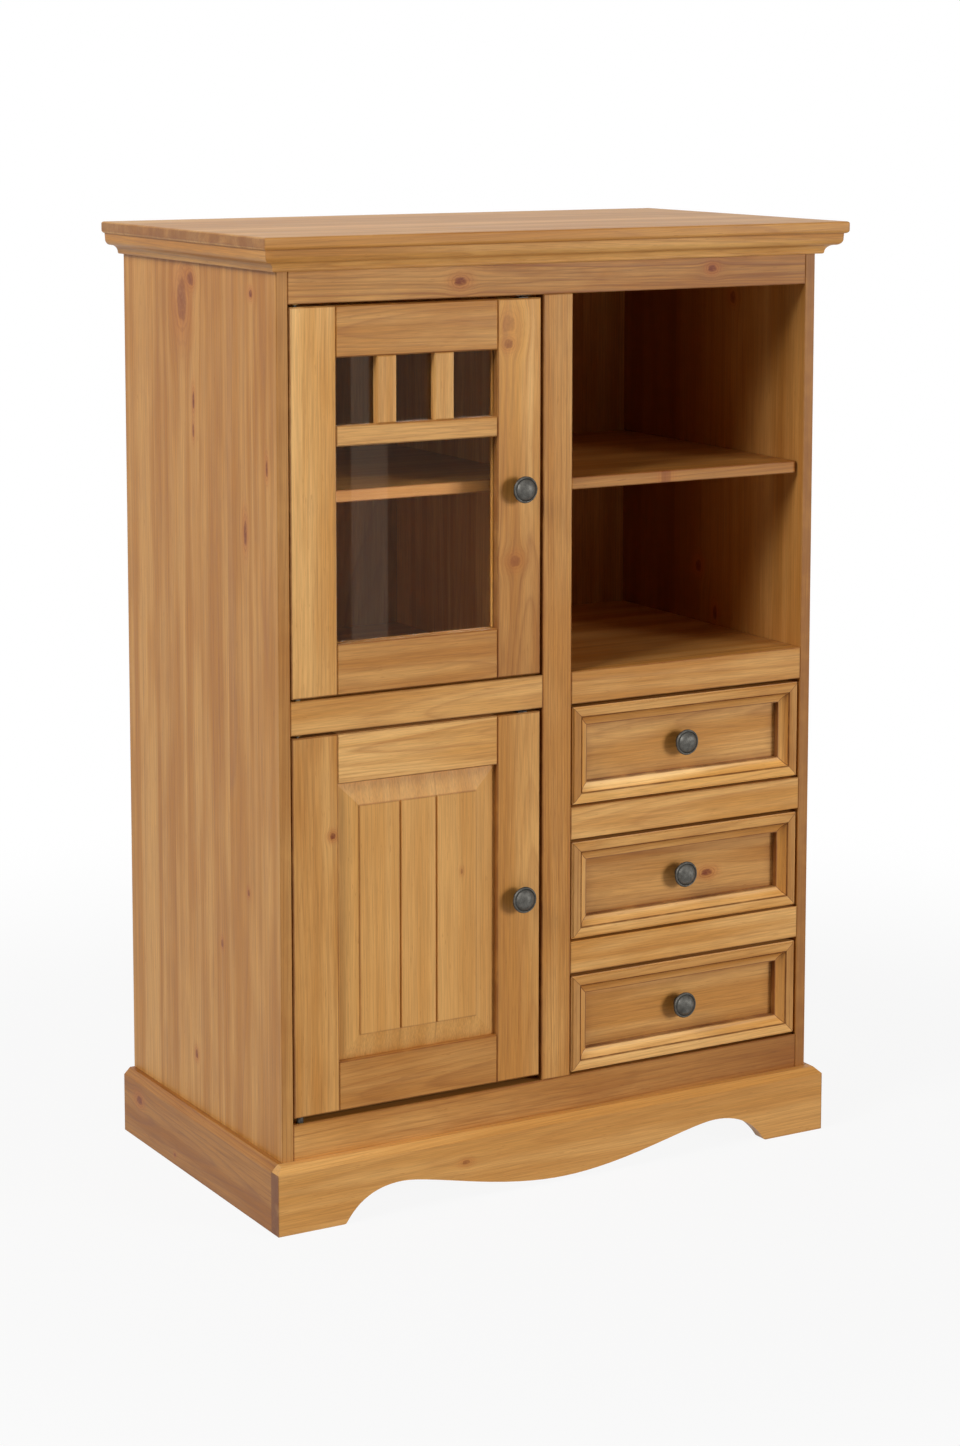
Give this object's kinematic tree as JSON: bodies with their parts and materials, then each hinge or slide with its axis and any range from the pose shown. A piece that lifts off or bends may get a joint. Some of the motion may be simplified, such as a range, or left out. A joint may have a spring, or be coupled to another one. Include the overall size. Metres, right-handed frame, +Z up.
{
  "type": "trastero cabinet",
  "caption": "Free-standing pine cabinet with a glazed door over a panel door, an open shelved bay over drawers, a moulded cornice and a wavy plinth.",
  "frame": {"origin": "on the floor at the centre of the overall footprint", "axes": "+Z up, the front with its doors and drawers faces -Y, +X to the right of someone facing the front"},
  "size_m": [0.88, 0.497, 1.27],
  "materials": {
    "waxed_pine": "waxed",
    "raw_pine": "bare",
    "pewter": "antique satin",
    "steel": "satin",
    "brass": "satin",
    "glass": "clear"
  },
  "bodies": {
    "carcass": {"back_panel": "waxed_pine", "bottom_board": "waxed_pine", "bottom_rail": "waxed_pine", "catch_strikes": "steel", "centre_post": "waxed_pine", "cornice_front": "waxed_pine", "cornice_left": "waxed_pine", "cornice_right": "waxed_pine", "divider": "waxed_pine", "drawer_rails": "waxed_pine", "drawer_runners": "waxed_pine", "middle_board_left": "waxed_pine", "middle_board_right": "waxed_pine", "middle_rail_left": "waxed_pine", "middle_rail_right": "waxed_pine", "pivot_bushes": "brass", "plinth_front": "waxed_pine", "plinth_left": "waxed_pine", "plinth_right": "waxed_pine", "shelf_left": "waxed_pine", "shelf_pins": "steel", "shelf_right": "waxed_pine", "side_left": "waxed_pine", "side_right": "waxed_pine", "top_board": "waxed_pine", "top_rail": "waxed_pine"},
    "glass_door": {"glass_door_beads": "waxed_pine", "glass_door_bottom_rail": "waxed_pine", "glass_door_catch": "steel", "glass_door_crossbar": "waxed_pine", "glass_door_hinge_stile": "waxed_pine", "glass_door_knob": "pewter", "glass_door_lock_stile": "waxed_pine", "glass_door_muntins": "waxed_pine", "glass_door_pane": "glass", "glass_door_pivots": "steel", "glass_door_top_rail": "waxed_pine"},
    "panel_door": {"panel_door_bottom_rail": "waxed_pine", "panel_door_catch": "steel", "panel_door_hinge_stile": "waxed_pine", "panel_door_knob": "pewter", "panel_door_lock_stile": "waxed_pine", "panel_door_pivots": "steel", "panel_door_raised_panel": "waxed_pine", "panel_door_top_rail": "waxed_pine"},
    "top_drawer": {"top_drawer_bottom": "raw_pine", "top_drawer_box": "raw_pine", "top_drawer_front": "waxed_pine", "top_drawer_knob": "pewter", "top_drawer_moulding": "waxed_pine"},
    "middle_drawer": {"middle_drawer_bottom": "raw_pine", "middle_drawer_box": "raw_pine", "middle_drawer_front": "waxed_pine", "middle_drawer_knob": "pewter", "middle_drawer_moulding": "waxed_pine"},
    "bottom_drawer": {"bottom_drawer_bottom": "raw_pine", "bottom_drawer_box": "raw_pine", "bottom_drawer_front": "waxed_pine", "bottom_drawer_knob": "pewter", "bottom_drawer_moulding": "waxed_pine"}
  },
  "joints": [
    {"name": "glass_door_swing", "type": "hinge", "parent": "carcass", "child": "glass_door", "pos_m": [-0.38, -0.209, 0.934], "axis": [0, 0, -1], "range_deg": [0, 110]},
    {"name": "panel_door_swing", "type": "hinge", "parent": "carcass", "child": "panel_door", "pos_m": [-0.38, -0.209, 0.391], "axis": [0, 0, -1], "range_deg": [0, 110]},
    {"name": "top_drawer_slide", "type": "slide", "parent": "carcass", "child": "top_drawer", "axis": [0, -1, 0], "range_m": [0, 0.3]},
    {"name": "middle_drawer_slide", "type": "slide", "parent": "carcass", "child": "middle_drawer", "axis": [0, -1, 0], "range_m": [0, 0.3]},
    {"name": "bottom_drawer_slide", "type": "slide", "parent": "carcass", "child": "bottom_drawer", "axis": [0, -1, 0], "range_m": [0, 0.3]}
  ]
}
